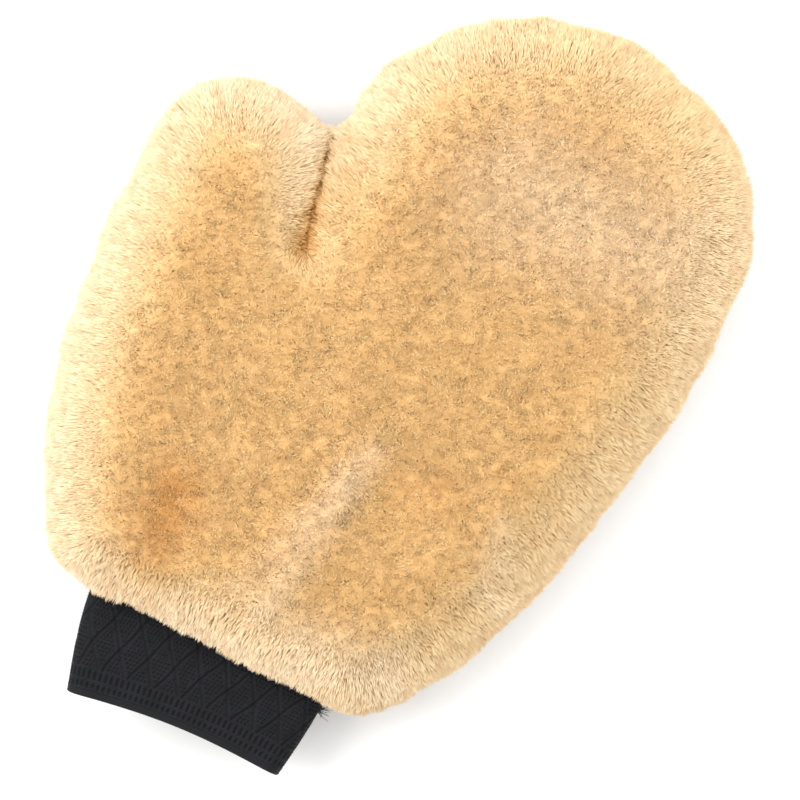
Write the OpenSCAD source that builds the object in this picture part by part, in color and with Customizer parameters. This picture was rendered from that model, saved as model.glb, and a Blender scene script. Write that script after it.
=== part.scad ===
// Sheepskin wash mitt with a thumb and an elastic knitted cuff, lying flat.
// The hand points along +Y, the thumb is on the -X side and the mitt rests on its palm wool at z = 0.

/* [Mitt] */
// Thickness of the whole mitt as it lies, wool tip to wool tip
mitt_t = 56; // [50:1:64]
// Thickness of the sheepskin hide
hide_t = 1.5; // [1:0.1:2]
// Height of the hand pocket between the two hides
pocket_t = 14; // [12:0.5:16]
// How far inside the hide edge the wool reaches its full height
crown_inset = 5; // [3:1:8]

/* [Cuff] */
// Flat width of the cuff at its mouth
mouth_w = 79.6; // [70:0.2:84]
// Flat width of the cuff where it joins the wrist
wrist_w = 91.4; // [86:0.2:91.4]
// Length of the cuff band from its mouth to its sewn edge
cuff_l = 54; // [50:1:56]
// How far the mouth edge rises in the middle
mouth_rise = 3; // [0:0.5:4]
// Thickness of the patterned outer knit
face_t = 1; // [0.8:0.1:1.1]
// Thickness of the plain inner knit
back_t = 0.8; // [0.6:0.1:0.9]
// Height of the plain hem round the mouth
hem_l = 2.5; // [2:0.5:4]

/* [Elastic and thread] */
// Radius of one elastic yarn
yarn_r = 0.28; // [0.2:0.01:0.3]
// Distance between elastic yarns along the cuff
yarn_pitch = 4; // [3:0.5:6]
// Radius of the overlocked seam inside the hand
seam_r = 0.55; // [0.4:0.05:0.8]
// Radius of the sewing thread
thread_r = 0.25; // [0.2:0.01:0.28]

/* [Hidden] */

// The drawing below has its origin at the middle of the cuff mouth.
// This moves it to the centre of the mitt.
place = [-19, -142.5, 0];
// Height of the plane in which the two panels are sewn together
seam_z = mitt_t / 2;
// The wrist edge of the hides
wrist_y = 48;
// Both edges run from the wrist up the thumb side, round thumb and fingers, and down to the wrist again.
// They share these spans: side of the palm, side of the thumb and side of the fingers, each met twice.
palm_spans = 3;
thumb_spans = 3;
finger_spans = 4;
hide_edge = [[-48, 48], [-60, 75], [-67, 108], [-70, 142], [-69, 172], [-64, 195], [-51, 205],
  [-38, 198], [-31, 181], [-22, 163], [-11, 184], [-4, 216], [15, 248], [52, 265], [88, 252],
  [106, 222], [104, 182], [95, 142], [82, 104], [66, 70], [48, 48]];
wool_edge = [[-66, 45], [-79, 75], [-86, 108], [-89, 148], [-87, 186], [-79, 213], [-59, 224],
  [-41, 221], [-31, 217], [-26, 212], [-24, 223], [-17, 246], [6, 272], [52, 285], [97, 271],
  [122, 243], [127, 206], [119, 149], [105, 104], [89, 63], [67, 34]];
// Points on each span of an edge
span_steps = 3;
edge_points = (len(hide_edge) - 1) * span_steps + 1;
// Rings from the edge of a panel up to its flat middle
rise_steps = 4;
// Half height of the pocket, and of the same surface on the wool side of the hide
pocket_h = pocket_t / 2;
hide_h = pocket_h + hide_t;
// Rounded wool above the wrist: how many rows it takes, and where its lip lies on the cuff
lip_steps = 3;
lip_y = 32;
lip_slope = -0.08;
// The cuff's outer surface lies this far inside the pocket's
cuff_gap = 0.6;
cuff_h = pocket_h - cuff_gap;
// Height on the cuff at which it has its full width
full_width_y = 40;
// Space between the two knits, which the elastic yarns fill
core_t = 2 * yarn_r + 0.04;
cuff_t = face_t + core_t + back_t;
flat_steps = 12;
end_steps = 6;
cuff_rows = 4;
// The turned-in seam at the side of the cuff: its strip, the space round it, and where it starts and stops
allowance_w = 4;
allowance_t = 1.8;
allowance_gap = 0.3;
allowance_low = 1.5;
allowance_high = 2;
// Its stitches: their spacing, where they start above the hem, and their distance from the strip's free edge
stitch_pitch = 3;
stitch_low = 3;
stitch_gap = 0.21;
// The loose thread ends: height on the cuff, distance from it, spacing, and the direction and length of each
tail_y = 27;
tail_gap = 0.1;
tail_pitch = 0.7;
tail_fan = [[-18, 2.2], [8, 2.6], [30, 1.9], [52, 1.5]];
// Distance of the seam inside the hand from the hides
seam_gap = 0.05;
// Where the two rows of wrist stitches lie above the hides' wrist edge
wrist_rows = [1.6, 4.2];
wool_tan = "#edbd7c";
hide_cream = "#e9dcc6";
knit_black = "#2b2c30";
thread_black = "#1d1d21";

// A point on the smooth curve through p, between point i and the next
function curve_point(p, i, t) =
  let (a = p[max(i - 1, 0)], b = p[i], c = p[i + 1], d = p[min(i + 2, len(p) - 1)])
  0.5 * (2 * b + (c - a) * t + (2 * a - 5 * b + 4 * c - d) * t * t + (3 * b - a - 3 * c + d) * t * t * t);

function smooth_curve(p) = [
  for (i = [0 : len(p) - 2]) for (k = [0 : span_steps - 1]) curve_point(p, i, k / span_steps),
  p[len(p) - 1]];

// The curve moved inwards by d, straight across the mitt at its two ends
function inset(c, d) = [
  for (i = [0 : len(c) - 1])
    let (last = len(c) - 1, along = c[min(i + 1, last)] - c[max(i - 1, 0)])
    let (across = i == 0 ? [1, 0] : i == last ? [-1, 0] : [along.y, -along.x] / norm(along))
    c[i] + across * d];

function at_height(c, z) = [for (p = c) [p.x, p.y, z]];

function flat_list(rows) = [for (row = rows) each row];

// Rings of a pocket surface of half height h, whose edge is rounded by the same radius
function pocket_rings(h) = [
  for (k = [0 : rise_steps])
    let (turn = 90 * k / rise_steps)
    at_height(inset(smooth_curve(hide_edge), hide_h - h * cos(turn)), h * sin(turn))];

// Rings of the wool tips, from the widest edge up to the full height
function wool_rings() =
  let (wide = smooth_curve(wool_edge), top = inset(smooth_curve(hide_edge), crown_inset))
  [for (k = [0 : rise_steps])
    let (turn = 90 * k / rise_steps, share = 1 - cos(turn))
    at_height(wide * (1 - share) + top * share, seam_z * sin(turn))];

// The open wrist end of a stack of rings, from the left edge over the top to the right edge
function wrist_arch(rings) = [
  for (ring = rings) ring[0],
  for (k = [rise_steps : -1 : 0]) rings[k][edge_points - 1]];

// The arch moved along the mitt to where the wool lies on the cuff
function lip_arch(arch) = [for (p = arch) [p.x, lip_y + lip_slope * p.x, p.z]];

// Rows of wool that curl from the top of the mitt down to the lip
function curl_arches(high, lip) = [
  for (k = [1 : lip_steps])
    let (turn = 90 * k / lip_steps)
    [for (i = [0 : len(high) - 1])
      let (a = high[i], b = lip[i], down = 1 - cos(turn), out = sin(turn))
      [a.x + (b.x - a.x) * down, a.y + (b.y - a.y) * out, a.z + (b.z - a.z) * down]]];

// The two triangles of a quad, without any that has no area
function quad(a, b, c, d) = [
  if (a != b && b != c) [a, b, c],
  if (c != d && d != a) [a, c, d]];

function turned(faces) = [for (f = faces) [f[2], f[1], f[0]]];

// Triangles between row a and row b of indices
function strip(a, b) = [for (i = [0 : len(a) - 2]) each quad(a[i], a[i + 1], b[i + 1], b[i])];

function ring_ids(first, k) = [for (i = [0 : edge_points - 1]) first + k * edge_points + i];

function rise_faces(first) = [
  for (k = [0 : rise_steps - 1]) each strip(ring_ids(first, k), ring_ids(first, k + 1))];

// The flat middle of a panel: rungs across the palm, the thumb and the fingers, and the triangle between them
function middle_faces(first) =
  let (palm = palm_spans * span_steps)
  let (thumb = palm + thumb_spans * span_steps)
  let (crotch = thumb + thumb_spans * span_steps)
  let (finger = crotch + finger_spans * span_steps)
  let (last = edge_points - 1)
  [for (i = [0 : palm - 1]) each quad(first + i, first + i + 1, first + last - i - 1, first + last - i),
    for (i = [palm : thumb - 1])
      each quad(first + i, first + i + 1, first + 2 * thumb - i - 1, first + 2 * thumb - i),
    for (i = [crotch : finger - 1])
      each quad(first + i, first + i + 1, first + 2 * finger - i - 1, first + 2 * finger - i),
    [first + palm, first + crotch, first + last - palm]];

function arch_ids(first) = [
  for (k = [0 : rise_steps]) first + k * edge_points,
  for (k = [rise_steps : -1 : 0]) first + (k + 1) * edge_points - 1];

// A closed half of the mitt between an outer and an inner stack of rings, with rows of its own at the wrist
module half_panel(outer, inner, rows) {
  count = len(outer) * edge_points;
  arch_count = 2 * (rise_steps + 1);
  wrist = [
    arch_ids(0),
    for (k = [0 : 1 : len(rows) - 1]) [for (i = [0 : arch_count - 1]) 2 * count + k * arch_count + i],
    arch_ids(count)];
  ends = len(wrist) - 1;
  top = rise_steps * edge_points;
  polyhedron(
    points = concat(flat_list(outer), flat_list(inner), flat_list(rows)),
    faces = concat(
      rise_faces(0), middle_faces(top),
      turned(rise_faces(count)), turned(middle_faces(count + top)),
      turned(strip(ring_ids(0, 0), ring_ids(count, 0))),
      [for (k = [0 : ends - 1]) each strip(wrist[k], wrist[k + 1])],
      [for (k = [0 : 1 : ends - 2]) [wrist[ends][0], wrist[k][0], wrist[k + 1][0]]],
      [for (k = [0 : 1 : ends - 2])
        [wrist[ends][arch_count - 1], wrist[k + 1][arch_count - 1], wrist[k][arch_count - 1]]]));
}

module half_fleece() {
  high = wool_rings();
  skin = pocket_rings(hide_h);
  inner_arch = wrist_arch(pocket_rings(pocket_h));
  lip = lip_arch(inner_arch);
  half_panel(high, skin, concat(curl_arches(wrist_arch(high), lip), [inner_arch]));
}

module half_hide() {
  half_panel(pocket_rings(hide_h), pocket_rings(pocket_h), []);
}

module back_fleece() {
  color(wool_tan) translate(place + [0, 0, seam_z]) half_fleece();
}

module palm_fleece() {
  color(wool_tan) translate(place + [0, 0, seam_z]) mirror([0, 0, 1]) half_fleece();
}

module back_hide() {
  color(hide_cream) translate(place + [0, 0, seam_z]) half_hide();
}

module palm_hide() {
  color(hide_cream) translate(place + [0, 0, seam_z]) mirror([0, 0, 1]) half_hide();
}

// A round thread that follows a flat curve
module thread_along(c, r) {
  sides = 8;
  count = len(c);
  points = [
    for (i = [0 : count - 1])
      let (along = c[min(i + 1, count - 1)] - c[max(i - 1, 0)], across = [along.y, -along.x] / norm(along))
      for (k = [0 : sides - 1])
        let (turn = 360 * k / sides)
        [c[i].x + across.x * r * cos(turn), c[i].y + across.y * r * cos(turn), r * sin(turn)]];
  rows = [for (i = [0 : count - 1]) [for (k = [0 : sides]) i * sides + k % sides]];
  polyhedron(
    points = points,
    faces = concat(
      [for (i = [0 : count - 2]) each strip(rows[i], rows[i + 1])],
      [[for (k = [0 : sides - 1]) (count - 1) * sides + k]],
      [[for (k = [sides - 1 : -1 : 0]) k]]));
}

// The overlocked edge seam lies inside the pocket, from just above the cuff round to the other side.
module hand_seam_thread() {
  c = inset(smooth_curve(hide_edge), hide_t + seam_r + seam_gap);
  color(hide_cream) translate(place + [0, 0, seam_z])
    thread_along([for (i = [1 : len(c) - 2]) c[i]], seam_r);
}

// Half width of the cuff's outer surface at height y
function cuff_half(y) =
  mouth_w / 2 + (wrist_w - mouth_w) / 2 * sin(90 * min(y, full_width_y) / full_width_y);

// The mouth edge rises towards the middle of the cuff.
function mouth_edge(x) = mouth_rise * max(0, cos(180 * x / mouth_w));

// A flattened loop of half width w and half height h, with round ends
function flat_loop(w, h) =
  let (straight = w - h)
  [for (k = [0 : flat_steps]) [straight * (2 * k / flat_steps - 1), h],
    for (k = [1 : end_steps - 1])
      let (turn = 90 - 180 * k / end_steps)
      [straight + h * cos(turn), h * sin(turn)],
    for (k = [0 : flat_steps]) [straight * (1 - 2 * k / flat_steps), -h],
    for (k = [1 : end_steps - 1])
      let (turn = -90 - 180 * k / end_steps)
      [-straight + h * cos(turn), h * sin(turn)]];

// One row of points round the cuff, depth inside its outer surface, at a share of the way from y_low to y_high
function cuff_row(depth, y_low, y_high, share) =
  let (y_mid = y_low + (y_high - y_low) * share)
  [for (p = flat_loop(cuff_half(y_mid) - depth, cuff_h - depth))
    [p.x, y_mid + mouth_edge(p.x) * (y_high < cuff_l ? 1 : 1 - share), p.y]];

// A sleeve between two depths in the cuff's wall
module sleeve(depth, thickness, y_low, y_high) {
  rows = concat(
    [for (k = [0 : cuff_rows]) cuff_row(depth, y_low, y_high, k / cuff_rows)],
    [for (k = [cuff_rows : -1 : 0]) cuff_row(depth + thickness, y_low, y_high, k / cuff_rows)]);
  around = len(rows[0]);
  ids = [for (k = [0 : len(rows)]) [for (i = [0 : around]) (k % len(rows)) * around + i % around]];
  polyhedron(
    points = flat_list(rows),
    faces = [for (k = [0 : len(rows) - 1]) each strip(ids[k], ids[k + 1])]);
}

module cuff_face_knit() {
  color(knit_black) translate(place + [0, 0, seam_z]) sleeve(0, face_t, hem_l, cuff_l);
}

module cuff_back_knit() {
  color(knit_black) translate(place + [0, 0, seam_z]) sleeve(face_t + core_t, back_t, hem_l, cuff_l);
}

module cuff_hem() {
  color(knit_black) translate(place + [0, 0, seam_z]) sleeve(0, cuff_t, 0, hem_l);
}

// A closed flattened ring of yarn of radius r, standing across the mitt
module yarn_ring(w, h, r) {
  straight = w - h;
  rotate([90, 0, 0])
    for (side = [0, 180]) rotate(side) {
      translate([straight, 0, 0]) rotate(-90)
        rotate_extrude(angle = 180, $fn = 48) translate([h, 0]) circle(r = r, $fn = 24);
      translate([-straight, -h, 0]) rotate([0, 90, 0]) cylinder(r = r, h = 2 * straight, $fn = 24);
    }
}

module cuff_elastic_yarns() {
  depth = face_t + core_t / 2;
  first_y = hem_l + mouth_rise + yarn_pitch / 2;
  color(thread_black) translate(place + [0, 0, seam_z])
    for (y = [first_y : yarn_pitch : cuff_l - yarn_pitch / 2])
      translate([0, y, 0]) yarn_ring(cuff_half(y) - depth, cuff_h - depth, yarn_r);
}

// The two ends of the band are turned into the cuff on the +X side, as a flat strip along the seam.
function allowance_x(y) = cuff_half(y) - cuff_t - allowance_gap;

module cuff_seam_allowance() {
  steps = 6;
  low = hem_l + allowance_low;
  run = cuff_l - low - allowance_high;
  outer_edge = [for (k = [0 : steps]) let (y = low + run * k / steps) [allowance_x(y), y]];
  inner_edge = [for (k = [steps : -1 : 0]) let (y = low + run * k / steps) [allowance_x(y) - allowance_w, y]];
  color(knit_black) translate(place + [0, 0, seam_z - allowance_t / 2])
    linear_extrude(allowance_t) polygon(concat(outer_edge, inner_edge));
}

// Stitches wrap the free edge of the turned-in strip.
module cuff_seam_thread() {
  first_y = hem_l + stitch_low;
  color(thread_black) translate(place + [0, 0, seam_z])
    for (y = [first_y : stitch_pitch : cuff_l - stitch_pitch])
      translate([allowance_x(y) - allowance_w - thread_r - stitch_gap, y, -allowance_t / 2 - thread_r])
        cylinder(r = thread_r, h = allowance_t + 2 * thread_r, $fn = 24);
}

// Loose ends of the overlock thread that stand out where the side seam meets the wool
module seam_thread_tail() {
  color(thread_black) translate(place + [cuff_half(tail_y) + tail_gap, tail_y, seam_z])
    for (k = [0 : len(tail_fan) - 1])
      translate([0, 0, tail_pitch * (k - (len(tail_fan) - 1) / 2)])
        rotate(tail_fan[k][0]) rotate([0, 90, 0]) cylinder(r = thread_r, h = tail_fan[k][1], $fn = 24);
}

// Two rows of thread hold the cuff inside the wrist edge of the hides.
module wrist_seam_thread() {
  color(hide_cream) translate(place + [0, 0, seam_z])
    for (y = [for (row = wrist_rows) wrist_y + row])
      translate([0, y, 0]) yarn_ring(cuff_half(y) + cuff_gap / 2, cuff_h + cuff_gap / 2, thread_r);
}

back_fleece();
palm_fleece();
back_hide();
palm_hide();
hand_seam_thread();
cuff_face_knit();
cuff_back_knit();
cuff_hem();
cuff_elastic_yarns();
cuff_seam_allowance();
cuff_seam_thread();
seam_thread_tail();
wrist_seam_thread();
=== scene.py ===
"""A sheepskin wash mitt lying on its palm: wool outside, suede hides inside and a patterned elastic cuff.

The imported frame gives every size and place. Distances in tables and in the cuff section are in millimetres,
all others in metres.
"""

import math

import bpy
import numpy as np
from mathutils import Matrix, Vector
from mathutils.bvhtree import BVHTree


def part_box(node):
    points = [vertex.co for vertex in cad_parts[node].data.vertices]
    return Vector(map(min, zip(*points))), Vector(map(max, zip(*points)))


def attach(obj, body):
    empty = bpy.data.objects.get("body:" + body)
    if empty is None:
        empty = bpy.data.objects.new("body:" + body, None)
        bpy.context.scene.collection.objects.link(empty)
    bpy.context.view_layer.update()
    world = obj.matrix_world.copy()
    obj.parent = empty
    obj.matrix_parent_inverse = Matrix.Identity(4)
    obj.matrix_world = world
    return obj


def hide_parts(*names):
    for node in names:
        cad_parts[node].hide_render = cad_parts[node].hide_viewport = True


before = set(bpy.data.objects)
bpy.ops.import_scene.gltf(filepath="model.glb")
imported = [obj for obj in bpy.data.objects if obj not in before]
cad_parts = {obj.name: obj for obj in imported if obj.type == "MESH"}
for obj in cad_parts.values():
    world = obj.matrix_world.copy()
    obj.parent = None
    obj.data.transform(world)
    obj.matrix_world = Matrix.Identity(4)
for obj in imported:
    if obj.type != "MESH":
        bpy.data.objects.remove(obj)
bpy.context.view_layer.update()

MM = 0.001
BODY = "root"

# ---------------------------------------------------------------- places taken from the frame

SEAM_Z = Vector(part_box("back_fleece")[0]).z
CUFF_LOW, CUFF_HIGH = (Vector(c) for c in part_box("cuff_face_knit"))
CUFF_X = (CUFF_LOW.x + CUFF_HIGH.x) / 2
MOUTH_Y = Vector(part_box("cuff_hem")[0]).y


# ---------------------------------------------------------------- numbers: noise and cells

def hashed(cell, seed):
    """A number from 0 to 1 for each whole-number cell, the same on every run."""
    x, y, z = (cell[..., k].astype(np.int64) for k in range(3))
    h = (x * 73856093) ^ (y * 19349663) ^ (z * 83492791) ^ (seed * 2654435761)
    h = (h ^ (h >> 13)) & 0xFFFFFFFF
    h = (h * 1274126177) & 0xFFFFFFFF
    h = (h ^ (h >> 16)) & 0xFFFFFF
    return h / float(0xFFFFFF)


def soft_noise(points, size, seed):
    """Smooth noise from -1 to 1 whose lumps are about size across."""
    q = points / size
    low = np.floor(q)
    t = q - low
    t = t * t * (3 - 2 * t)
    total = np.zeros(len(points))
    for dx in (0, 1):
        for dy in (0, 1):
            for dz in (0, 1):
                corner = low + np.array([dx, dy, dz])
                weight = (
                    (t[:, 0] if dx else 1 - t[:, 0])
                    * (t[:, 1] if dy else 1 - t[:, 1])
                    * (t[:, 2] if dz else 1 - t[:, 2])
                )
                total += weight * hashed(corner, seed)
    return 2 * total - 1


def nearest_site(points, size, seed):
    """The nearest of scattered sites about size apart, with its distance and a number of its own."""
    q = points / size
    home = np.floor(q)
    best = np.full(len(points), 1e9)
    site = np.zeros_like(points)
    tag = np.zeros(len(points))
    for dx in (-1, 0, 1):
        for dy in (-1, 0, 1):
            for dz in (-1, 0, 1):
                cell = home + np.array([dx, dy, dz])
                spot = cell + np.stack([hashed(cell, seed + k) for k in range(3)], axis=1)
                far = ((spot - q) ** 2).sum(axis=1)
                near = far < best
                best[near] = far[near]
                site[near] = spot[near]
                tag[near] = hashed(cell[near], seed + 3)
    return site * size, np.sqrt(best) * size, tag


def unit(v):
    return v / np.maximum(np.linalg.norm(v, axis=1, keepdims=True), 1e-9)


def ease(x, low, high):
    """0 below low, 1 above high and smooth between."""
    t = np.clip((x - low) / (high - low), 0, 1)
    return t * t * (3 - 2 * t)


# ---------------------------------------------------------------- mesh helpers

def only(obj):
    """Selects one object and nothing else."""
    bpy.ops.object.select_all(action="DESELECT")
    obj.select_set(True)
    bpy.context.view_layer.objects.active = obj


def points_of(mesh):
    flat = np.empty(len(mesh.vertices) * 3)
    mesh.vertices.foreach_get("co", flat)
    return flat.reshape(-1, 3)


def normals_of(mesh):
    flat = np.empty(len(mesh.vertices) * 3)
    mesh.vertices.foreach_get("normal", flat)
    return flat.reshape(-1, 3)


def set_points(mesh, points):
    mesh.vertices.foreach_set("co", points.ravel())
    mesh.update()


def apply_modifier(obj, kind, **settings):
    only(obj)
    modifier = obj.modifiers.new(kind.title(), kind)
    for name, value in settings.items():
        setattr(modifier, name, value)
    bpy.ops.object.modifier_apply(modifier=modifier.name)


def merged_copy(name, nodes, drop=None):
    """One new object from copies of CAD nodes, with its points merged. drop picks faces to leave out."""
    bpy.ops.object.select_all(action="DESELECT")
    for node in nodes:
        piece = bpy.data.objects.new(name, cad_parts[node].data.copy())
        bpy.context.collection.objects.link(piece)
        piece.select_set(True)
        bpy.context.view_layer.objects.active = piece
    if len(nodes) > 1:
        bpy.ops.object.join()
    piece = bpy.context.view_layer.objects.active
    piece.name = name
    piece.data.materials.clear()
    bpy.ops.object.mode_set(mode="EDIT")
    bpy.ops.mesh.select_all(action="DESELECT")
    bpy.ops.object.mode_set(mode="OBJECT")
    if drop is not None:
        for face in piece.data.polygons:
            face.select = drop([piece.data.vertices[i].co for i in face.vertices])
        bpy.ops.object.mode_set(mode="EDIT")
        bpy.ops.mesh.delete(type="FACE")
        bpy.ops.object.mode_set(mode="OBJECT")
    bpy.ops.object.mode_set(mode="EDIT")
    bpy.ops.mesh.select_all(action="SELECT")
    bpy.ops.mesh.remove_doubles(threshold=0.02 * MM)
    bpy.ops.object.mode_set(mode="OBJECT")
    return piece


def mesh_from(name, points, triangles):
    """A new object from arrays of points and triangles, smooth shaded."""
    mesh = bpy.data.meshes.new(name)
    mesh.vertices.add(len(points))
    mesh.vertices.foreach_set("co", points.ravel())
    mesh.loops.add(triangles.size)
    mesh.loops.foreach_set("vertex_index", triangles.ravel())
    mesh.polygons.add(len(triangles))
    mesh.polygons.foreach_set("loop_start", np.arange(0, triangles.size, 3))
    mesh.polygons.foreach_set("loop_total", np.full(len(triangles), 3))
    mesh.polygons.foreach_set("use_smooth", np.ones(len(triangles), bool))
    mesh.update(calc_edges=True)
    obj = bpy.data.objects.new(name, mesh)
    bpy.context.collection.objects.link(obj)
    return obj


def colour_attribute(mesh, name, values):
    """Stores rows of red, green and blue on the points of a mesh, for its material to read."""
    rows = np.ones((len(values), 4), np.float32)
    rows[:, :3] = values
    mesh.attributes.new(name, "FLOAT_COLOR", "POINT").data.foreach_set("color", rows.ravel())


# ---------------------------------------------------------------- materials

def linear(code):
    """An sRGB hex colour as linear red, green, blue and alpha."""
    parts = [int(code[k : k + 2], 16) / 255 for k in (1, 3, 5)]
    return [p / 12.92 if p <= 0.04045 else ((p + 0.055) / 1.055) ** 2.4 for p in parts] + [1]


def add_node(tree, kind, settings=None, inputs=None):
    """Adds a node. An input is a value, or another node's output to link from."""
    node = tree.nodes.new(kind)
    for name, value in (settings or {}).items():
        setattr(node, name, value)
    for name, value in (inputs or {}).items():
        if isinstance(value, bpy.types.NodeSocket):
            tree.links.new(value, node.inputs[name])
        else:
            node.inputs[name].default_value = value
    return node


RGBA = {"data_type": "RGBA"}
MULTIPLY = {"data_type": "RGBA", "blend_type": "MULTIPLY"}


def new_material(name, **shader_values):
    """A material, its tree and its Principled shader, which gets the given plain values."""
    material = bpy.data.materials.new(name)
    material.use_nodes = True
    tree = material.node_tree
    shader = tree.nodes["Principled BSDF"]
    for socket, value in shader_values.items():
        shader.inputs[socket.replace("_", " ")].default_value = value
    return material, tree, shader


GOLD = ("#f1d396", "#f4dba7")
# Painted shade deep in the pile: the gold is darker toward the fibre roots
GOLD_IN_ROOT_SHADE = "#e6b876"
# Painted light: the cream of the edge's fibres, a little darker at the root as painted shade
PAINTED_EDGE_LIGHT_FROM_ROOT = ("#f9e4c0", "#fdf0d8")
# The darker tone of some tufts at random, and painted shade in the folds
TUFT_TONE_AND_PAINTED_SHADE = "#c8a074"
WHITE = "#ffffff"


def wool_material():
    """Sheared lambswool, dyed gold, matt and velvety. The cream toward the edge is painted light on the lit
    sides of the edge's fibres, the darker roots are painted shade deep in the pile, and the darker tufts
    carry painted shade in the folds.
    """
    material, tree, shader = new_material(
        "sheared_lambswool", Roughness=0.85, Sheen_Weight=0.12, Sheen_Roughness=0.5
    )
    shader.inputs["Sheen Tint"].default_value = linear("#fff4e0")
    shader.inputs["Specular IOR Level"].default_value = 0.15
    facts = add_node(tree, "ShaderNodeAttribute", {"attribute_name": "wool"})
    parts = add_node(tree, "ShaderNodeSeparateColor", None, {"Color": facts.outputs["Color"]})
    rim, shade, along = parts.outputs["Red"], parts.outputs["Green"], parts.outputs["Blue"]
    place = add_node(tree, "ShaderNodeTexCoord").outputs["Object"]
    patches = add_node(tree, "ShaderNodeTexNoise", None, {"Vector": place, "Scale": 40.0, "Detail": 2.0})
    gold = add_node(
        tree, "ShaderNodeMix", RGBA, {0: patches.outputs["Fac"], 6: linear(GOLD[0]), 7: linear(GOLD[1])}
    ).outputs[2]
    # Painted shade: darker toward the roots, deep in the pile
    gold = add_node(tree, "ShaderNodeMix", RGBA, {0: along, 6: linear(GOLD_IN_ROOT_SHADE), 7: gold}).outputs[2]
    # Painted light: cream where the edge's fibres show their lit sides
    painted_edge_light = add_node(
        tree, "ShaderNodeMix", RGBA,
        {0: along, 6: linear(PAINTED_EDGE_LIGHT_FROM_ROOT[0]), 7: linear(PAINTED_EDGE_LIGHT_FROM_ROOT[1])}
    ).outputs[2]
    wool = add_node(tree, "ShaderNodeMix", RGBA, {0: rim, 6: gold, 7: painted_edge_light}).outputs[2]
    # Darker by the tufts' own tone at random, and by painted shade in the folds and deep in the core. Lighter
    # where the core is painted light near the rim.
    lighter = add_node(
        tree, "ShaderNodeMix", RGBA, {0: shade, 6: linear(TUFT_TONE_AND_PAINTED_SHADE), 7: linear(WHITE)}
    ).outputs[2]
    tinted = add_node(tree, "ShaderNodeMix", MULTIPLY, {0: 1.0, 6: wool, 7: lighter})
    tree.links.new(tinted.outputs[2], shader.inputs["Base Color"])
    return material


def suede_material():
    """Tanned lambskin, flesh side out: chalky cream suede with a short nap and soft cloudy stains."""
    material, tree, shader = new_material(
        "lambskin_suede", Roughness=0.92, Sheen_Weight=0.3, Sheen_Roughness=0.5
    )
    place = add_node(tree, "ShaderNodeTexCoord").outputs["Object"]
    cloud = add_node(tree, "ShaderNodeTexNoise", None, {"Vector": place, "Scale": 60.0, "Detail": 4.0})
    nap = add_node(tree, "ShaderNodeTexNoise", None, {"Vector": place, "Scale": 900.0, "Detail": 3.0})
    base = add_node(
        tree, "ShaderNodeMix", RGBA, {0: cloud.outputs["Fac"], 6: linear("#d9c6a6"), 7: linear("#efe2cb")}
    ).outputs[2]
    base = add_node(
        tree, "ShaderNodeMix", RGBA, {0: nap.outputs["Fac"], 6: linear("#cdb894"), 7: base}
    ).outputs[2]
    tree.links.new(base, shader.inputs["Base Color"])
    bump = add_node(
        tree, "ShaderNodeBump", None, {"Height": nap.outputs["Fac"], "Strength": 0.4, "Distance": 0.2 * MM}
    )
    tree.links.new(bump.outputs["Normal"], shader.inputs["Normal"])
    return material


def knit_material(name, light, dark, pit_shade_attribute):
    """Covered elastic knit of charcoal polyester: matt ribs, and painted shade, near black, in the pits."""
    material, tree, shader = new_material(name, Roughness=0.65)
    shader.inputs["Specular IOR Level"].default_value = 0.16
    place = add_node(tree, "ShaderNodeTexCoord").outputs["Object"]
    yarn = add_node(tree, "ShaderNodeTexNoise", None, {"Vector": place, "Scale": 1300.0, "Detail": 3.0})
    fleck = add_node(tree, "ShaderNodeTexNoise", None, {"Vector": place, "Scale": 120.0, "Detail": 2.0})
    ground = add_node(
        tree, "ShaderNodeMix", RGBA, {0: fleck.outputs["Fac"], 6: linear(dark), 7: linear(light)}
    ).outputs[2]
    ground = add_node(
        tree, "ShaderNodeMix", RGBA, {0: yarn.outputs["Fac"], 6: linear(dark), 7: ground}
    ).outputs[2]
    # Painted shade: near black where the relief sinks into pits
    if pit_shade_attribute:
        pit_shade = add_node(tree, "ShaderNodeAttribute", {"attribute_name": pit_shade_attribute})
        ground = add_node(
            tree, "ShaderNodeMix", RGBA, {0: pit_shade.outputs["Fac"], 6: ground, 7: linear("#050506")}
        ).outputs[2]
    tree.links.new(ground, shader.inputs["Base Color"])
    bump = add_node(
        tree, "ShaderNodeBump", None,
        {"Height": yarn.outputs["Fac"], "Strength": 0.5, "Distance": 0.15 * MM}
    )
    tree.links.new(bump.outputs["Normal"], shader.inputs["Normal"])
    return material


def thread_material(name, light, dark, roughness):
    """Spun sewing thread: a fine slanting twist, slightly glossy on its outer strands."""
    material, tree, shader = new_material(name, Roughness=roughness)
    place = add_node(tree, "ShaderNodeTexCoord").outputs["Object"]
    twist = add_node(
        tree, "ShaderNodeTexWave", {"bands_direction": "DIAGONAL"},
        {"Vector": place, "Scale": 700.0, "Distortion": 1.5, "Detail": 2.0}
    )
    base = add_node(
        tree, "ShaderNodeMix", RGBA, {0: twist.outputs["Fac"], 6: linear(dark), 7: linear(light)}
    ).outputs[2]
    tree.links.new(base, shader.inputs["Base Color"])
    bump = add_node(
        tree, "ShaderNodeBump", None,
        {"Height": twist.outputs["Fac"], "Strength": 0.5, "Distance": 0.1 * MM}
    )
    tree.links.new(bump.outputs["Normal"], shader.inputs["Normal"])
    return material


# ---------------------------------------------------------------- camera, floor and light

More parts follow.
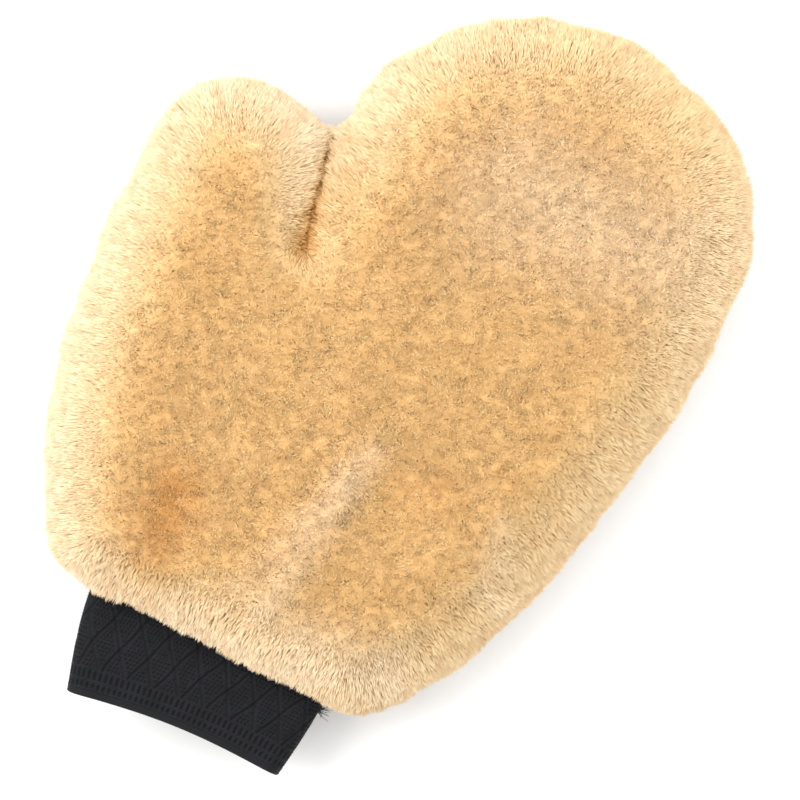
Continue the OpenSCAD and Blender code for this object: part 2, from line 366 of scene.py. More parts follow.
def camera():
    """A long lens straight above, turned so that the fingers point to the upper right."""
    view_w = 0.280
    distance = 1.6
    turn = math.radians(22)
    aim_mm = (11.3, -4.5)
    data = bpy.data.cameras.new("camera")
    data.lens = 36.0 * (distance - SEAM_Z) / view_w
    data.sensor_width = 36.0
    obj = bpy.data.objects.new("camera", data)
    obj.location = (aim_mm[0] * MM, aim_mm[1] * MM, distance)
    obj.rotation_euler = (0, 0, turn)
    bpy.context.collection.objects.link(obj)
    bpy.context.scene.camera = obj


def floor():
    """White paper, just below the wool that rests on it."""
    bpy.ops.object.select_all(action="DESELECT")
    bpy.ops.mesh.primitive_plane_add(size=40, location=(0, 0, -0.2 * MM))
    plane = bpy.context.active_object
    plane.name = "studio_floor"
    material, _, shader = new_material("matt_white_paper", Roughness=0.9)
    shader.inputs["Base Color"].default_value = linear("#f4f4f3")
    plane.data.materials.append(material)


LIGHT_AIM = (0, 0, 0.02)


def area_light(name, place, size, power):
    data = bpy.data.lights.new(name, "AREA")
    data.size = size
    data.energy = power
    obj = bpy.data.objects.new(name, data)
    obj.location = place
    obj.rotation_euler = (Vector(LIGHT_AIM) - Vector(place)).to_track_quat("-Z", "Y").to_euler()
    bpy.context.collection.objects.link(obj)


def lights():
    """Three softboxes, strongest from the left, in a white room."""
    area_light("left_softbox", (-0.85, 0.0, 1.0), 1.0, 15)
    area_light("top_softbox", (0.45, 0.80, 1.05), 1.1, 9.5)
    area_light("right_softbox", (0.80, -0.65, 1.0), 1.2, 2.5)
    world = bpy.data.worlds.new("studio")
    world.use_nodes = True
    world.node_tree.nodes["Background"].inputs["Color"].default_value = (1, 1, 1, 1)
    world.node_tree.nodes["Background"].inputs["Strength"].default_value = 1.0
    bpy.context.scene.world = world
    bpy.context.scene.view_settings.view_transform = "Standard"


# ---------------------------------------------------------------- wool

def fleece_outline():
    """The widest edge of the wool, in order round the mitt, from the CAD fleece."""
    fleece = points_of(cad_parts["back_fleece"].data)
    hide = points_of(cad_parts["back_hide"].data)
    edge = np.unique(np.round(fleece[np.abs(fleece[:, 2] - SEAM_Z) < 0.01 * MM], 6), axis=0)[:, :2]
    skin = np.unique(np.round(hide[np.abs(hide[:, 2] - SEAM_Z) < 0.01 * MM], 6), axis=0)[:, :2]
    away = np.linalg.norm(edge[:, None] - skin[None], axis=2).min(axis=1)
    edge = edge[away > 1.0 * MM]
    middle = np.array([-9, 7.5]) * MM
    turn = np.arctan2(edge[:, 1] - middle[1], edge[:, 0] - middle[0])
    return edge[np.argsort(turn)]


# The fold between thumb and fingers goes on below the notch in the outline, shallower as it goes.
# Its points are x and y in mm.
FOLD = [(-46.0, 74.0), (-45.0, 66.0), (-43.4, 57.0), (-42.0, 48.0), (-40.4, 39.5), (-38.6, 31.5)]
FOLD_FADE = 3.2 * MM
# Fibres below this y hang over the cuff
WRIST_FRINGE_Y = MOUTH_Y + 42 * MM
# The wool's face over the cuff lies below this y
LIP_Y = MOUTH_Y + 60 * MM
# Half of the width over which fibres hang there
LIP_HALF = 60 * MM
OUTLINE = fleece_outline()
CELL = 1.0 * MM
FIELD_MARGIN = 12 * MM
FIELD_LOW = OUTLINE.min(axis=0) - FIELD_MARGIN


def edge_field():
    """How far each spot of a flat grid lies from the outline or the thumb fold."""
    reach = OUTLINE.max(axis=0) - OUTLINE.min(axis=0) + 2 * FIELD_MARGIN
    columns, rows = np.ceil(reach / CELL).astype(int) + 1
    x, y = np.meshgrid(
        FIELD_LOW[0] + CELL * np.arange(columns), FIELD_LOW[1] + CELL * np.arange(rows), indexing="ij"
    )
    spots = np.stack([x.ravel(), y.ravel()], axis=1)
    runs = [(start, end, 0.0) for start, end in zip(OUTLINE, np.roll(OUTLINE, -1, axis=0))]
    fold = np.array(FOLD) * MM
    runs += [(fold[k], fold[k + 1], (k + 0.5) * FOLD_FADE) for k in range(len(fold) - 1)]
    best = np.full(len(spots), 1e9)
    for start, end, extra in runs:
        run = end - start
        t = np.clip(((spots - start) @ run) / (run @ run), 0, 1)
        best = np.minimum(best, np.linalg.norm(spots - start - t[:, None] * run, axis=1) + extra)
    return best.reshape(x.shape)


EDGE_FIELD = edge_field()
EDGE_SLOPE = np.gradient(EDGE_FIELD, CELL)


def look_up(field, points):
    """Reads the flat grid at points, blending between its cells."""
    q = (points[:, :2] - FIELD_LOW) / CELL
    low = np.clip(np.floor(q).astype(int), 0, np.array(field.shape) - 2)
    t = np.clip(q - low, 0, 1)
    i, j = low[:, 0], low[:, 1]
    near = field[i, j] * (1 - t[:, 1]) + field[i, j + 1] * t[:, 1]
    far = field[i + 1, j] * (1 - t[:, 1]) + field[i + 1, j + 1] * t[:, 1]
    return near * (1 - t[:, 0]) + far * t[:, 0]


def from_edge(points):
    return look_up(EDGE_FIELD, points)


RIM_W = 23 * MM
LEAN_W = 40 * MM


def rim_share(points):
    """1 at the mitt's edge, 0 where the pile stands straight up."""
    return 1 - ease(from_edge(points), 0.15 * RIM_W, RIM_W)


def lean_share(points):
    """How much the pile leans outwards: none in the middle, most at the edge."""
    return 1 - ease(from_edge(points), 0, LEAN_W)


def away_from_middle(points):
    """The direction, seen from above, that leads straight to the nearest edge of the mitt."""
    x, y = (look_up(slope, points) for slope in EDGE_SLOPE)
    return -np.stack([x, y, 0 * x], axis=1)


# Soft folds and ridges that the hand and the sewing leave in the back's pile, in mm:
# the two ends, how wide, how high, and how much paler the wool is painted there: painted highlight on ridges,
# painted shade in folds where it is negative.
STROKES = [
    ((-5.3, -86.8), (9.5, -26.1), 6.5, 1.6, 0.42),
    ((-18.0, -86.2), (3.3, -36.1), 5.0, 0.8, 0.2),
    ((-48.9, -62.9), (-47.5, -83.1), 11.5, -1.3, -0.42),
    ((23.1, -33.7), (36.4, -29.2), 12.0, -1.3, -0.14),
    ((59.5, -30.4), (63.8, -55.1), 5.0, 0.9, 0.25),
    ((13.6, -94.2), (38.9, -91.5), 11.0, 0.3, 0.35),
    ((-45.5, 70.7), (-38.8, 31.0), 4.5, -3.0, -0.8),
    ((24.3, 78.0), (69.8, 77.0), 27.0, 0.0, 0.52),
    ((-33.0, 72.0), (-32.0, 46.0), 6.0, 0.4, -0.15),
]


def strokes(points):
    """Height in mm, and the painted highlight or painted shade that the folds and ridges add at points on the
    back.
    """
    height, pale = np.zeros(len(points)), np.zeros(len(points))
    back = ease(points[:, 2], SEAM_Z, SEAM_Z + 8 * MM)
    for start, end, width, high, painted_light in STROKES:
        start, run = np.array(start) * MM, (np.array(end) - np.array(start)) * MM
        t = np.clip(((points[:, :2] - start) @ run) / (run @ run), 0, 1)
        away = np.linalg.norm(points[:, :2] - start - t[:, None] * run, axis=1)
        share = np.exp(-((away / (width * MM)) ** 2)) * back
        height += high * share
        pale += painted_light * share
    return height, pale


def painted_light_paleness(points):
    """How far the colour has gone from the gold of the middle to the cream of the edge. The cream is painted
    light on the lit sides of the edge's fibres. It is weaker on the right, away from the main light, and
    toward the fingertips. The strokes add painted highlight on ridges and painted shade in folds.
    """
    edge = 1 - ease(from_edge(points), -7 * MM, 33 * MM)
    # Less painted edge light on the right, away from the main light, and toward the fingertips
    less_painted_light_right = 0.5 * ease(points[:, 0], -40 * MM, 60 * MM)
    less_painted_light_at_tip = 0.25 * ease(points[:, 1], 30 * MM, 130 * MM)
    edge = edge * (1 - less_painted_light_right) * (1 - less_painted_light_at_tip)
    stroke = strokes(points)[1]
    return np.clip(edge * (1 + np.minimum(stroke, 0)) + stroke * (1 - 0.6 * edge), 0, 1)


# How far the core lies below the CAD wool, so that the fibres end at its surface, and how far it may swell
CROWN_PILE = 3.4 * MM
RIM_PILE = 4.5 * MM
SWELL = 1.5 * MM
VOXEL = 5.1 * MM
PUFF_PRESSURE = 4
PUFF_FRAMES = 20
SKINS = []


def skin_distance(points):
    """How far each point lies from the hides, so that the pocket side of the wool stays where it is."""
    if not SKINS:
        for node in ("back_hide", "palm_hide"):
            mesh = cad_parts[node].data
            faces = [tuple(face.vertices) for face in mesh.polygons]
            SKINS.append(BVHTree.FromPolygons([vertex.co for vertex in mesh.vertices], faces))
    return np.array([min(tree.find_nearest(Vector(p))[3] for tree in SKINS) for p in points])


def outside_share(points):
    """1 on the wool's outer surface, 0 in the hand pocket."""
    return ease(skin_distance(points), 2 * MM, 6 * MM)


def wool_core():
    """The dense lower part of the pile, both panels in one, still hollow for the hand."""
    def on_seam(corners):
        return all(abs(c.z - SEAM_Z) < 0.01 * MM for c in corners)

    core = merged_copy("wool_core", ["back_fleece", "palm_fleece"], drop=on_seam)
    core.data.remesh_voxel_size = VOXEL
    only(core)
    bpy.ops.object.voxel_remesh()
    apply_modifier(core, "SMOOTH", factor=0.5, iterations=3)
    points = points_of(core.data)
    rim = rim_share(points)
    depth = (CROWN_PILE + (RIM_PILE - CROWN_PILE) * rim + SWELL) * outside_share(points)
    set_points(core.data, points - normals_of(core.data) * depth[:, None])
    puff(core, SWELL)
    apply_modifier(core, "SUBSURF", levels=2, render_levels=2)
    return core


def puff(piece, cap):
    """Swells the piece as cloth under pressure from inside, no point further than cap."""
    start = points_of(piece.data)
    cloth = piece.modifiers.new("Cloth", "CLOTH")
    cloth.settings.use_pressure = True
    cloth.settings.uniform_pressure_force = PUFF_PRESSURE
    cloth.settings.effector_weights.gravity = 0
    cloth.point_cache.frame_start, cloth.point_cache.frame_end = 1, PUFF_FRAMES
    for number in range(1, PUFF_FRAMES + 1):
        bpy.context.scene.frame_set(number)
    moved = points_of(piece.evaluated_get(bpy.context.evaluated_depsgraph_get()).data)
    piece.modifiers.remove(cloth)
    bpy.context.scene.frame_set(1)
    step = moved - start
    far = np.linalg.norm(step, axis=1, keepdims=True)
    set_points(piece.data, start + step * np.minimum(1, cap / np.maximum(far, 1e-9)))


def roughen(core):
    """Tufts and soft folds of the pile: small lumps all over, and the folds and ridges of the back."""
    mesh = core.data
    points, normals = points_of(mesh), normals_of(mesh)
    outside = outside_share(points)
    rim = rim_share(points)
    lumps = 0.4 * soft_noise(points, 7 * MM, 5) + 0.5 * (1 - rim) * soft_noise(points, 3.2 * MM, 6)
    lumps += 0.8 * soft_noise(points, 26 * MM, 9)
    lumps += strokes(points)[0]
    set_points(mesh, points + normals * (lumps * outside * MM)[:, None])
    return outside


def scatter(mesh, outside, count, weight, rng):
    """Random spots on the outside of a mesh: their places and normals."""
    mesh.calc_loop_triangles()
    tris = np.empty(len(mesh.loop_triangles) * 3, np.int32)
    mesh.loop_triangles.foreach_get("vertices", tris)
    tris = tris.reshape(-1, 3)
    points, normals = points_of(mesh), normals_of(mesh)
    a, b, c = (points[tris[:, k]] for k in range(3))
    area = 0.5 * np.linalg.norm(np.cross(b - a, c - a), axis=1)
    middle = (a + b + c) / 3
    facing = (normals[tris[:, 0]] + normals[tris[:, 1]] + normals[tris[:, 2]]) / 3
    share = area * (outside[tris].min(axis=1) > 0.5) * weight(middle, facing)
    share = share / share.sum()
    picked = rng.choice(len(tris), size=count, p=share)
    u, v = rng.random(count), rng.random(count)
    flip = u + v > 1
    u[flip], v[flip] = 1 - u[flip], 1 - v[flip]
    w = np.stack([1 - u - v, u, v], axis=1)[..., None]
    place = (points[tris[picked]] * w).sum(axis=1)
    normal = unit((normals[tris[picked]] * w).sum(axis=1))
    return place, normal


def grow(name, roots, normals, steps, lengths, width, comb, stand, ruffle, clump, pull, up, seed, rng):
    """Flat fibres from roots. comb says where they lean, and nearby fibres gather at their tips."""
    count = len(roots)
    rim = rim_share(roots)
    lean = lean_share(roots)
    lift = 0.2 + 1.6 * rim * (0.45 + 0.55 * ease(from_edge(roots), 0, 9 * MM)) + 0.8 * lean * (1 - rim)
    shading = unit(normals + np.array([0, 0, up]) * lift[:, None])
    start = unit(normals + 0.3 * comb + rng.normal(scale=ruffle, size=(count, 3)))
    finish = unit(stand * normals + comb + rng.normal(scale=ruffle, size=(count, 3)))
    base = roots - normals * 0.6 * MM
    site, away, tag = nearest_site(roots, clump, seed)
    lengths = lengths * (1 - 0.15 * np.clip(away / clump, 0, 1))
    tip = base + (0.45 * start + 0.55 * finish) * lengths[:, None]
    gather = site - roots
    gather -= normals * (gather * normals).sum(axis=1, keepdims=True)
    tip = tip + gather * pull
    bend = base + start * (lengths * 0.5)[:, None]
    facing = shading + (0.3 - 0.15 * rim)[:, None] * rng.normal(size=(count, 3))
    heading = unit(tip - base)
    seen = facing - heading * (facing * heading).sum(axis=1, keepdims=True)
    facing = np.where((seen * shading).sum(axis=1, keepdims=True) < 0, -facing, facing)
    rows, alongs = [], []
    spots = (0.0, 0.7) if steps == 2 else (0.0, 0.45, 0.85)
    for t, share in zip(spots, (1.0, 0.9, 0.75)):
        middle = (1 - t) ** 2 * base + 2 * t * (1 - t) * bend + t * t * tip
        heading = unit(2 * (1 - t) * (bend - base) + 2 * t * (tip - bend))
        side = unit(np.cross(heading, facing)) * (width * 0.5 * share)
        rows += [middle - side, middle + side]
        alongs += [t, t]
    rows.append(tip)
    alongs.append(1.0)
    points = np.stack(rows, axis=1).reshape(-1, 3)
    points[:, 2] = np.maximum(points[:, 2], 0.1 * MM + 0.05 * np.abs(points[:, 2]))
    per = 2 * steps + 1
    faces = []
    for k in range(steps - 1):
        faces += [(2 * k, 2 * k + 1, 2 * k + 3), (2 * k, 2 * k + 3, 2 * k + 2)]
    faces.append((2 * steps - 2, 2 * steps - 1, 2 * steps))
    triangles = (np.arange(count)[:, None, None] * per + np.array(faces)[None]).reshape(-1, 3)
    obj = mesh_from(name, points, triangles.astype(np.int32))
    # Tuft tone at random, and painted shade in the folds where the strokes are negative
    shade = np.clip(0.5 + 0.3 * tag + 0.25 * rng.random(count) + np.minimum(strokes(roots)[1], 0), 0, 1)
    # Painted light: the roots are painted lighter toward the rim, to fill the shade between the fibres there
    along = np.maximum(np.tile(alongs, count), np.repeat(0.6 * lean, per))
    facts = np.stack([np.repeat(painted_light_paleness(roots), per), np.repeat(shade, per), along], axis=1)
    colour_attribute(obj.data, "wool", facts)
    rows = np.repeat(shading, per, axis=0).astype(np.float32)
    shaded = obj.data.attributes.new("custom_normal", "FLOAT_VECTOR", "POINT")
    shaded.data.foreach_set("vector", rows.ravel())
    obj.data.update()
    return obj


# How far the flat side of a fibre turns up. On the back and the edge it is 1.
UP = {"palm_pile": 0, "side_pile": 0.5, "ledge_fuzz": 0.2}
PIECE_TRIANGLES = 190000


def wool():
    """The core and the fields of fibres that grow out of it."""
    rng = np.random.default_rng(7)
    core = wool_core()
    outside = roughen(core)
    material = wool_material()
    mesh = core.data
    points, normals = points_of(mesh), normals_of(mesh)
    wrist = points[:, 1] < LIP_Y
    away_from_pocket = normals[:, 2] * np.sign(points[:, 2] - SEAM_Z) > -0.1
    ledge = (outside < 0.7) & wrist & away_from_pocket & (normals[:, 1] < -0.1)
    lean = lean_share(points)
    # Painted shade and light: the core, deep in the pile, is painted darker than the tips. It is painted
    # lighter toward the rim, to fill the shade between the fibres there, and darker in the folds.
    shade = np.clip(0.55 + 0.35 * lean + np.minimum(strokes(points)[1], 0), 0, 1)
    colour_attribute(mesh, "wool", np.stack([painted_light_paleness(points), shade, 0.7 + 0.3 * lean], axis=1))
    mesh.materials.append(material)
    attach(core, BODY)
    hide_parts("back_fleece", "palm_fleece")

    def crown(place, normal):
        return (normal[:, 2] > 0) * (0.15 + 0.85 * (1 - rim_share(place)))

    def edge(place, normal):
        return ease(normal[:, 2], -0.8, 0.0) * (0.03 + rim_share(place) ** 0.6)

    def under(place, normal):
        return (1 - ease(normal[:, 2], -0.6, 0.1)) * (0.35 + 0.65 * rim_share(place))

    def side(place, normal):
        return (np.abs(normal[:, 2] + 0.3) < 0.6) * 1.0

    def anywhere(place, normal):
        return np.ones(len(place))

    def lip(place, normal):
        over_cuff = np.abs(place[:, 0] - CUFF_X) < LIP_HALF
        return (place[:, 1] < WRIST_FRINGE_Y) * (normal[:, 1] < -0.15) * over_cuff

    # Name, where it grows, how many, bends in a fibre, its length and the extra at the rim in mm,
    # its width in mm, how upright and how ruffled it stands, the size of a tuft in mm, and how far
    # its tips gather
    fields = [
        ("wrist_fringe", lip, 8000, 3, 4.0, 3.5, 0.18, 0.3, 0.22, 5.0, 0.25),
        ("ledge_fuzz", anywhere, 16000, 2, 2.6, 0.0, 0.24, 0.8, 0.4, 2.0, 0.4),
        ("back_pile", crown, 140000, 2, 3.2, 3.0, 0.28, 0.8, 0.24, 1.7, 0.45),
        ("edge_pile", edge, 115000, 3, 3.4, 5.7, 0.32, 0.5, 0.10, 3.0, 0.12),
        ("palm_pile", under, 66000, 2, 4.5, 4.0, 0.45, 0.6, 0.16, 3.0, 0.2),
        ("side_pile", side, 45000, 2, 5.5, 0.5, 0.42, 0.35, 0.22, 3.0, 0.2),
    ]
    for number, field in enumerate(fields):
        name, weight, count, steps, length, more, width, stand, ruffle, clump, pull = field
        roots, normals = scatter(mesh, ledge if name == "ledge_fuzz" else outside, count, weight, rng)
        r = rim_share(roots)
        outward = away_from_middle(roots) * lean_share(roots)[:, None]
        nap = np.stack([soft_noise(roots, 14 * MM, 20 + k) for k in range(3)], axis=1)
        curl = np.stack([soft_noise(roots, 3 * MM, 30 + k) for k in range(3)], axis=1)
        comb = 0.9 * outward + (0.3 * nap + 0.3 * curl) * (1 - 0.75 * r)[:, None]
        comb[:, 2] *= 0.4
        if name == "wrist_fringe":
            comb = comb + np.array([0, -1.1, 0])
        if name == "ledge_fuzz":
            comb = 0.8 * curl
        if name == "side_pile":
            comb = 0.5 * curl + 0.5 * nap
            comb[:, 2] += 0.9 * np.sign(roots[:, 2] - SEAM_Z)
        lengths = (length + more * r) * (0.92 + 0.16 * rng.random(count)) * MM
        lengths = lengths * (1 + 0.2 * r * soft_noise(roots, 10 * MM, 50))
        lengths = lengths * (1 - 0.45 * np.clip(-strokes(roots)[0] / 3, 0, 1))
        under_cuff = (roots[:, 1] < WRIST_FRINGE_Y) & (roots[:, 2] < SEAM_Z)
        lengths = lengths * (1 - 0.5 * under_cuff)
        order = np.argsort(roots[:, 1])
        pieces = max(1, math.ceil(count * (2 * steps - 1) / PIECE_TRIANGLES))
        for part, chosen in enumerate(np.array_split(order, pieces)):
            obj = grow(
                f"{name}_{part + 1}", roots[chosen], normals[chosen], steps, lengths[chosen], width * MM,
                comb[chosen], stand, ruffle, clump * MM, pull, UP.get(name, 1), 40 + number, rng
            )
            obj.data.materials.append(material)
            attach(obj, BODY)


# ---------------------------------------------------------------- hides


def hides():
    """The two skins, flesh side inwards."""
    suede = suede_material()
    for node in ("back_hide", "palm_hide"):
        skin = merged_copy(node + "_suede", [node])
        apply_modifier(skin, "SUBSURF", levels=2, render_levels=2, subdivision_type="SIMPLE")
        skin.data.polygons.foreach_set("use_smooth", np.ones(len(skin.data.polygons), bool))
        skin.data.materials.append(suede)
        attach(skin, BODY)
        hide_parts(node)


# ---------------------------------------------------------------- cuff

CUFF_H = 6.4
MOUTH_HALF = 39.8
FULL_HALF = 45.7
FULL_WIDTH_Y = 40.0
CUFF_L = 54.0
HEM_L = 2.5
MOUTH_RISE = 3.0
FACE_T = 1.0
CORE_T = 0.6
BACK_T = 0.8
CUFF_T = FACE_T + CORE_T + BACK_T
REPEATS = 19
# The plain ribs, the lattice of diamonds, the eyelets and the two rows of slots
RIB_PITCH = 1.05
RIB_DEPTH = 0.14
LATTICE_Y = (9.9, 10.6)
DIAMOND_TALL = 21.0
DIAMOND_Y = 19.5
GROOVES = ((1, 0.5), (-1, 0.36))
EYELET_PITCH = (1.35, 1.5)
EYELET_R = 0.62
SLOTS = 90
SLOT_ROWS = ((3.4, 5.2), (6.6, 9.5))
SLOT_R = 0.62
SLOT_END = 0.35
COLUMN_R = 0.5
GROOVE_W = 0.55
# In diamond widths and heights: how far eyelets reach from its middle, and where a column of them stands
# and ends
DIAMOND_FILL = 0.36
COLUMN_SHIFT = 0.40
COLUMN_TALL = 0.3
# How deep eyelets and slots go
EYELET_DEEP = 0.62
SLOT_DEEP = 0.68
# The lining's loop against the face's
HEM_EDGE_R = 0.9
CUFF_ORIGIN = np.array([CUFF_X, MOUTH_Y, SEAM_Z])


def cuff_half(y):
    """Half width of the cuff's outer surface at height y, in mm."""
    grown = np.sin(math.pi / 2 * np.minimum(y, FULL_WIDTH_Y) / FULL_WIDTH_Y)
    return MOUTH_HALF + (FULL_HALF - MOUTH_HALF) * grown


def cuff_surface(share, y, depth, rise_share):
    """Places on the cuff, depth inside its outer surface, and the directions that lead out of it there.

    share goes once round from the -X end over the top.
    """
    half = cuff_half(y) - depth
    h = CUFF_H - depth
    straight = half - h
    loop = 4 * straight + 2 * math.pi * h
    s = (share % 1) * loop
    bend = math.pi * h
    x, z = np.zeros_like(s), np.zeros_like(s)
    nx, nz = np.zeros_like(s), np.zeros_like(s)
    a = s < bend / 2
    turn = math.pi - s / h
    x[a], z[a] = (-straight + h * np.cos(turn))[a], (h * np.sin(turn))[a]
    nx[a], nz[a] = np.cos(turn)[a], np.sin(turn)[a]
    b = (s >= bend / 2) & (s < bend / 2 + 2 * straight)
    x[b], z[b], nz[b] = (-straight + s - bend / 2)[b], h, 1
    c = (s >= bend / 2 + 2 * straight) & (s < bend * 1.5 + 2 * straight)
    turn = math.pi / 2 - (s - bend / 2 - 2 * straight) / h
    x[c], z[c] = (straight + h * np.cos(turn))[c], (h * np.sin(turn))[c]
    nx[c], nz[c] = np.cos(turn)[c], np.sin(turn)[c]
    d = (s >= bend * 1.5 + 2 * straight) & (s < bend * 1.5 + 4 * straight)
    x[d], z[d], nz[d] = (straight - (s - bend * 1.5 - 2 * straight))[d], -h, -1
    e = s >= bend * 1.5 + 4 * straight
    turn = -math.pi / 2 - (s - bend * 1.5 - 4 * straight) / h
    x[e], z[e] = (-straight + h * np.cos(turn))[e], (h * np.sin(turn))[e]
    nx[e], nz[e] = np.cos(turn)[e], np.sin(turn)[e]
    rise = MOUTH_RISE * np.maximum(0, np.cos(math.pi * x / (2 * MOUTH_HALF))) * rise_share
    return np.stack([x, y + rise, z], axis=-1), np.stack([nx, 0 * nx, nz], axis=-1)


def bump_line(distance, width):
    """1 in the middle of a groove or pit and 0 at its edge."""
    return 1 - ease(np.abs(distance), 0.35 * width, width)


def knit_relief(share, y):
    """Depth in mm of the pattern below the cuff's outer face, and how much painted shade each place gets for
    lying in a rib hollow, groove, eyelet or slot.
    """
    loop = 4 * (cuff_half(y) - CUFF_H) + 2 * math.pi * CUFF_H
    pitch = loop / REPEATS
    across = share * REPEATS + 0.03 * np.sin(0.3 * y + 31 * share)
    rib = RIB_DEPTH * (1 - np.cos(2 * math.pi * y / RIB_PITCH))
    depth = rib
    # Painted shade in the rib hollows, grooves, eyelets and slots
    pit_shade = 2.6 * rib
    lattice = ease(y, *LATTICE_Y)
    up = (y - DIAMOND_Y) / DIAMOND_TALL
    for side, deep in GROOVES:
        line = (across - side * up + 0.5) % 1 - 0.5
        groove = bump_line(line * pitch * 0.9, GROOVE_W)
        depth = depth + deep * groove * lattice
        pit_shade = np.maximum(pit_shade, 1.8 * deep * groove * lattice)
    for shift in (0.0, 0.5):
        dx = (across - 0.5 - shift + 0.5) % 1 - 0.5
        dy = (up - shift + 0.5) % 1 - 0.5
        inside = (np.abs(dx) + np.abs(dy) < DIAMOND_FILL) * lattice
        hole_w, hole_h = EYELET_PITCH
        row = np.floor(y / hole_h)
        hole_x = (across * pitch / hole_w + 0.5 * (row % 2)) % 1 - 0.5
        hole_y = (y / hole_h % 1 - 0.5) * hole_h
        hole = bump_line(np.hypot(hole_x * hole_w, hole_y), EYELET_R)
        column = bump_line(np.hypot((dx + COLUMN_SHIFT) * pitch, hole_y), COLUMN_R)
        column = column * (np.abs(dy) < COLUMN_TALL) * lattice
        hole = np.maximum(hole * inside, column)
        depth = np.maximum(depth, EYELET_DEEP * hole)
        pit_shade = np.maximum(pit_shade, hole)
    slot_x = ((share * SLOTS) % 1 - 0.5) * loop / SLOTS
    for low, high in SLOT_ROWS:
        over = np.maximum(np.maximum(low + SLOT_END - y, y - high + SLOT_END), 0)
        slot = bump_line(np.hypot(slot_x, over), SLOT_R)
        depth = np.maximum(depth, SLOT_DEEP * slot)
        pit_shade = np.maximum(pit_shade, slot)
    return depth, pit_shade


def tube_grid(name, rows):
    """A mesh tube from rows of points round the cuff. Rows close on themselves, the last on the first."""
    count, around = len(rows), rows[0].shape[0]
    points = np.concatenate(rows)
    i, j = np.meshgrid(np.arange(count), np.arange(around), indexing="ij")
    a = i * around + j
    b = i * around + (j + 1) % around
    c = ((i + 1) % count) * around + (j + 1) % around
    d = ((i + 1) % count) * around + j
    corners = [np.stack(three, -1).reshape(-1, 3) for three in ([a, b, c], [a, c, d])]
    return mesh_from(name, points, np.concatenate(corners).astype(np.int32))


def sleeve(name, columns, outer_rows, inner_rows, first_depth, thickness, low, high, relief):
    """A knitted tube with a patterned outer face. Its rows run up the outside and down the inside."""
    share = np.arange(columns) / columns
    rows, pit_shades = [], []
    run = high - low
    for k in range(outer_rows + 1):
        y = np.full(columns, low + run * k / outer_rows)
        sink, pit_shade = relief(share, y) if relief else (0 * y, 0 * y)
        sink = sink * ease(y, low, low + 0.3) if relief else sink
        place, normal = cuff_surface(share, y, first_depth, 1 - k / outer_rows)
        rows.append(place - normal * sink[:, None])
        pit_shades.append(pit_shade)
    for k in range(inner_rows + 1):
        back = 1 - k / inner_rows
        y = np.full(columns, low + run * back)
        place, _ = cuff_surface(share, y, first_depth + thickness, 1 - back)
        rows.append(place)
        pit_shades.append(0 * share)
    rows = [CUFF_ORIGIN + row * MM for row in rows]
    obj = tube_grid(name, rows)
    if relief:
        level = np.concatenate(pit_shades)
        colour_attribute(obj.data, "pit_shade", np.stack([level] * 3, axis=1))
    return obj


def cuff():
    """The knitted band: patterned face, plain lining, selvedge and turned-in side seam."""
    charcoal = knit_material("jacquard_elastic_knit", "#2c2e35", "#050608", "pit_shade")
    plain = knit_material("plain_elastic_knit", "#1d1e22", "#0e0e11", None)
    face = sleeve(
        "cuff_face", columns=500, outer_rows=120, inner_rows=4, first_depth=0.0, thickness=FACE_T,
        low=HEM_L, high=CUFF_L, relief=knit_relief
    )
    face.data.materials.append(charcoal)
    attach(face, BODY)
    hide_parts("cuff_face_knit")
    back = sleeve(
        "cuff_lining", columns=300, outer_rows=30, inner_rows=30, first_depth=FACE_T + CORE_T,
        thickness=BACK_T, low=HEM_L, high=CUFF_L, relief=None
    )
    back.data.materials.append(plain)
    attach(back, BODY)
    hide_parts("cuff_back_knit")
    hem = hem_band(plain)
    allowance = merged_copy("cuff_side_seam", ["cuff_seam_allowance"])
    apply_modifier(allowance, "BEVEL", width=0.35 * MM, segments=3)
    apply_modifier(allowance, "SUBSURF", levels=2, render_levels=2, subdivision_type="SIMPLE")
    allowance.data.materials.append(plain)
    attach(allowance, BODY)
    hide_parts("cuff_seam_allowance")


def hem_band(material):
    """The selvedge round the mouth: a rounded edge with fine lengthwise ribs."""
    columns = 560
    share = np.arange(columns) / columns
    outline = []
    steps = 5
    r = HEM_EDGE_R
    ribs = 6
    rib_deep = 0.10
    for k in range(ribs + 1):
        y = HEM_L - (HEM_L - r) * k / ribs
        outline.append((rib_deep * (1 - math.cos(2 * math.pi * k / 3)), y))
    for k in range(1, steps + 1):
        turn = math.pi / 2 * k / steps
        outline.append((r - r * math.cos(turn), r - r * math.sin(turn)))
    for k in range(steps):
        turn = math.pi / 2 * k / steps
        outline.append((CUFF_T - r + r * math.sin(turn), r - r * math.cos(turn)))
    outline.append((CUFF_T, r))
    outline.append((CUFF_T, HEM_L))
    rows = []
    for depth, y in outline:
        place, _ = cuff_surface(share, np.full(columns, max(y, 0.0)), depth, 1.0)
        rows.append(CUFF_ORIGIN + place * MM)
    hem = tube_grid("cuff_selvedge", rows[::-1])
    only(hem)
    bpy.ops.object.mode_set(mode="EDIT")
    bpy.ops.mesh.select_all(action="SELECT")
    bpy.ops.mesh.normals_make_consistent(inside=False)
    bpy.ops.object.mode_set(mode="OBJECT")
    hem.data.materials.append(material)
    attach(hem, BODY)
    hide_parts("cuff_hem")
    return hem


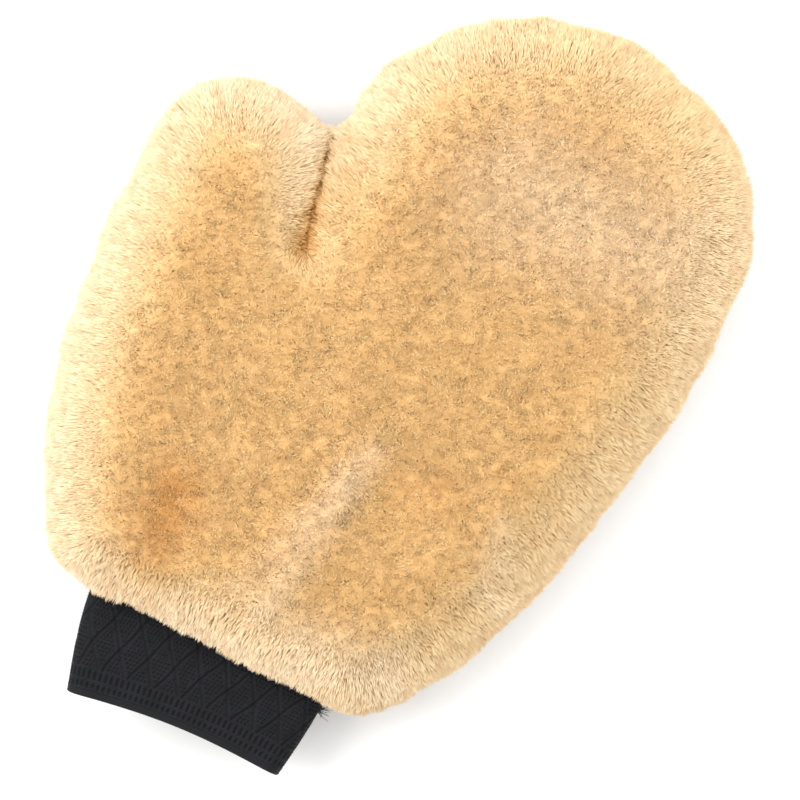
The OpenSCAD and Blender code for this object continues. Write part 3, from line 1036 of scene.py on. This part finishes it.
def seam_tail(material):
    """The fuzzy end of the black overlock thread, which stands out of the side seam by the wool."""
    rng = np.random.default_rng(3)
    fibres, stations, sides = 34, 6, 4
    thick = 0.13
    tail_y = 27.0
    seam_x = cuff_half(np.array([tail_y]))[0] - 1.0
    spot = np.array([CUFF_X / MM + seam_x, MOUTH_Y / MM + tail_y, SEAM_Z / MM])
    points, triangles = [], []
    for _ in range(fibres):
        turn = math.radians(rng.uniform(-45, 70))
        heading = np.array([math.cos(turn), math.sin(turn), rng.uniform(-0.5, 0.5)])
        curl = rng.normal(scale=0.35, size=3)
        length = rng.uniform(2.2, 4.2)
        start = spot + rng.normal(scale=(0.2, 0.5, 0.8), size=3)
        path = [start + heading * length * t + curl * length * t * t for t in np.linspace(0, 1, stations)]
        side = np.cross(heading, (0.1, 0.2, 1.0))
        side = side / np.linalg.norm(side)
        other = np.cross(heading, side) / np.linalg.norm(heading)
        first = len(points)
        for k, middle in enumerate(path):
            radius = thick * (1 - 0.6 * k / (stations - 1))
            for corner in range(sides):
                angle = 2 * math.pi * corner / sides
                points.append(middle + radius * (side * math.cos(angle) + other * math.sin(angle)))
        for k in range(stations - 1):
            for corner in range(sides):
                a = first + k * sides + corner
                b = first + k * sides + (corner + 1) % sides
                triangles += [(a, b, b + sides), (a, b + sides, a + sides)]
        last = first + (stations - 1) * sides
        triangles += [(first, first + 2, first + 1), (first, first + 3, first + 2)]
        triangles += [(last, last + 1, last + 2), (last, last + 2, last + 3)]
    tail = mesh_from("seam_tail_fibres", np.array(points) * MM, np.array(triangles, np.int32))
    only(tail)
    bpy.ops.object.mode_set(mode="EDIT")
    bpy.ops.mesh.select_all(action="SELECT")
    bpy.ops.mesh.normals_make_consistent(inside=False)
    bpy.ops.object.mode_set(mode="OBJECT")
    tail.data.materials.append(material)
    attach(tail, BODY)
    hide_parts("seam_thread_tail")


def threads():
    """Finishes of the threads and the elastic that keep the frame's own shapes."""
    pale = thread_material("spun_cotton_thread", "#efe6d2", "#cbbd9f", 0.7)
    dark = thread_material("black_polyester_thread", "#232327", "#0f0f12", 0.5)
    elastic = thread_material("covered_rubber_yarn", "#2a2a2e", "#151518", 0.6)
    finishes = {
        "hand_seam_thread": pale,
        "wrist_seam_thread": pale,
        "cuff_seam_thread": dark,
        "cuff_elastic_yarns": elastic,
    }
    for node, material in finishes.items():
        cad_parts[node].material_slots[0].material = material
    seam_tail(dark)


# ---------------------------------------------------------------- the mitt

camera()
floor()
lights()
wool()
hides()
cuff()
threads()
